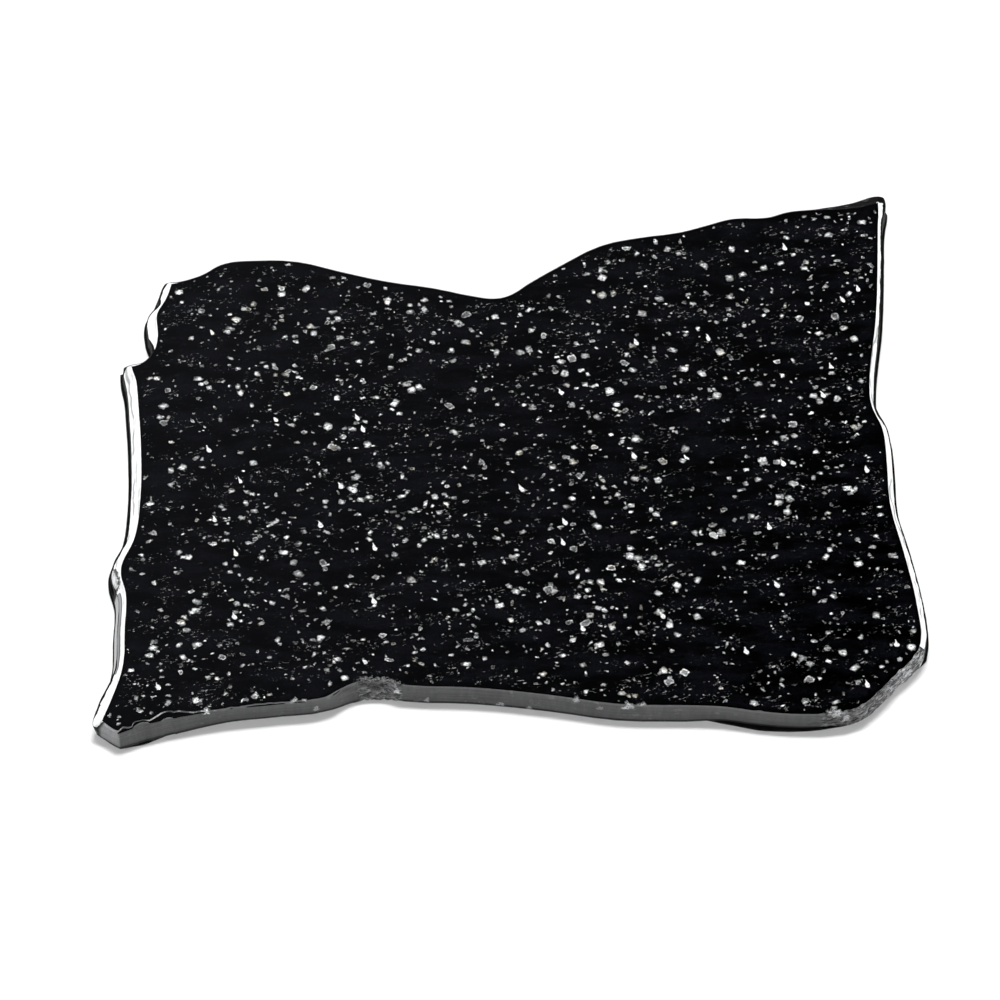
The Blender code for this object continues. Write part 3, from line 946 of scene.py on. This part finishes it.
def studio_white():
    """The floor: white paper, very slightly uneven."""
    material, t, shader = new_material("studio_white", Metallic=0.0, Roughness=0.9)
    tone = t.ramp(t.noise(in_millimetres(t), 0.01, 2.0), 0, 1, 0.9 * 0.995, 0.9)
    t.feed(shader.inputs["Base Color"], grey(t, tone))
    return material


# ------------------------------------------------------------------------------------------------ pieces

def add_piece(name, mesh, materials, node):
    """A piece that stands for a CAD node: it takes the given materials, hangs from the root body, and hides
    the node.
    """
    piece = bpy.data.objects.new(name, mesh)
    bpy.context.scene.collection.objects.link(piece)
    for material in materials:
        mesh.materials.append(material)
    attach(piece, "root")
    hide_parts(node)


grains = grain_group()
stone_materials = [polished_granite(grains), bevel_painted_reflection(grains), raw_granite(grains)]
add_piece("granite_stone", stone_mesh(), stone_materials, STONE)
add_piece("rubber_backing", sheet_mesh(), [rubber_sheet()], SHEET)


# ----------------------------------------------------------------------------------- floor and backdrop

WALL_RADIUS = 2.6
WALL_HEIGHT = 1.6
WALL_SIDES = 96
CURVE_RADIUS = 0.6
CURVE_STEPS = 12


def make_stage():
    """A pale floor that curves up into a low round wall, so every view has the same plain ground."""
    flat = WALL_RADIUS - CURVE_RADIUS
    profile = [(flat, 0.0)]
    for step in range(1, CURVE_STEPS + 1):
        angle = math.pi / 2 * step / CURVE_STEPS
        profile.append((flat + CURVE_RADIUS * math.sin(angle), CURVE_RADIUS - CURVE_RADIUS * math.cos(angle)))
    profile.append((WALL_RADIUS, WALL_HEIGHT))
    shape = bmesh.new()
    middle = shape.verts.new((CENTRE.x, CENTRE.y, 0))
    rings = []
    for radius, height in profile:
        ring = []
        for side in range(WALL_SIDES):
            angle = 2 * math.pi * side / WALL_SIDES
            x, y = CENTRE.x + radius * math.cos(angle), CENTRE.y + radius * math.sin(angle)
            ring.append(shape.verts.new((x, y, height)))
        rings.append(ring)
    for side in range(WALL_SIDES):
        after = (side + 1) % WALL_SIDES
        shape.faces.new((middle, rings[0][side], rings[0][after]))
        for lower, upper in zip(rings, rings[1:]):
            shape.faces.new((lower[side], upper[side], upper[after], lower[after]))
    mesh = bpy.data.meshes.new("studio_floor")
    shape.to_mesh(mesh)
    shape.free()
    for polygon in mesh.polygons:
        polygon.use_smooth = True
    mesh.materials.append(studio_white())
    floor = bpy.data.objects.new("studio_floor", mesh)
    bpy.context.scene.collection.objects.link(floor)


def softbox(name, direction, distance, size, power):
    """A rectangular soft light in a direction from the slab, turned to face it."""
    light = bpy.data.lights.new(name, "AREA")
    light.shape = "RECTANGLE"
    light.size, light.size_y = size
    light.energy = power
    lamp = bpy.data.objects.new(name, light)
    target = Vector((CENTRE.x, CENTRE.y, TOP))
    lamp.location = target + Vector(direction).normalized() * distance
    lamp.rotation_mode = "QUATERNION"
    lamp.rotation_quaternion = (target - lamp.location).to_track_quat("-Z", "Y")
    lamp.visible_camera = False
    bpy.context.scene.collection.objects.link(lamp)
    return lamp


def make_lights():
    """A small softbox above, a little to the back, and a long low one on each side that fills the bevels."""
    softbox("key_overhead", (0.0, 0.26, 0.966), 2.0, (0.6, 0.24), 33)
    for name, across in (("side_left", -1.0), ("side_right", 1.0)):
        lamp = softbox(name, (across, 0.22, 0.17), 1.7, (1.6, 0.5), 28)
        lamp.data.use_shadow = False
        lamp.visible_glossy = False


GLOW_TOWARDS = (-0.85, 0.47, -0.24)
GLOW_STRENGTH = 0.19
GLOW_COLOUR = (0.84, 0.88, 1.0, 1.0)


def make_world():
    """A dim room: nearly dark, with a faint glow that grows towards the back left."""
    world = bpy.data.worlds.new("studio_world")
    world.use_nodes = True
    t = Tree(world.node_tree)
    way = t.node("ShaderNodeTexCoord").outputs["Generated"]
    facing = t.vector("DOT_PRODUCT", way, GLOW_TOWARDS)
    background = world.node_tree.nodes["Background"]
    background.inputs["Color"].default_value = GLOW_COLOUR
    t.feed(background.inputs["Strength"], t.ramp(facing, -0.07, 0.13, 0.0, GLOW_STRENGTH, smooth=False))
    bpy.context.scene.world = world


# ------------------------------------------------------------------------------------------------ camera

CAMERA_ELEVATION = math.radians(62)
CAMERA_DISTANCE = 1.5335
CAMERA_LENS_MM = 151.7
SENSOR_WIDTH_MM = 36.0
CLIP_RANGE = (0.05, 50.0)
# The camera looks at a point on the polished face, given from the centre of the slab's box.
LOOK_AT_FROM_CENTRE = Vector((-4.7097 * MM, -18.8352 * MM))


def make_camera():
    data = bpy.data.cameras.new("camera")
    data.lens = CAMERA_LENS_MM
    data.sensor_width = SENSOR_WIDTH_MM
    data.clip_start, data.clip_end = CLIP_RANGE
    camera = bpy.data.objects.new("camera", data)
    target = Vector((CENTRE.x + LOOK_AT_FROM_CENTRE.x, CENTRE.y + LOOK_AT_FROM_CENTRE.y, TOP))
    back = Vector((0.0, -math.cos(CAMERA_ELEVATION), math.sin(CAMERA_ELEVATION)))
    camera.location = target + back * CAMERA_DISTANCE
    camera.rotation_mode = "QUATERNION"
    camera.rotation_quaternion = (-back).to_track_quat("-Z", "Y")
    bpy.context.scene.collection.objects.link(camera)
    bpy.context.scene.camera = camera


make_stage()
make_lights()
make_world()
make_camera()
bpy.context.scene.view_settings.view_transform = "Standard"
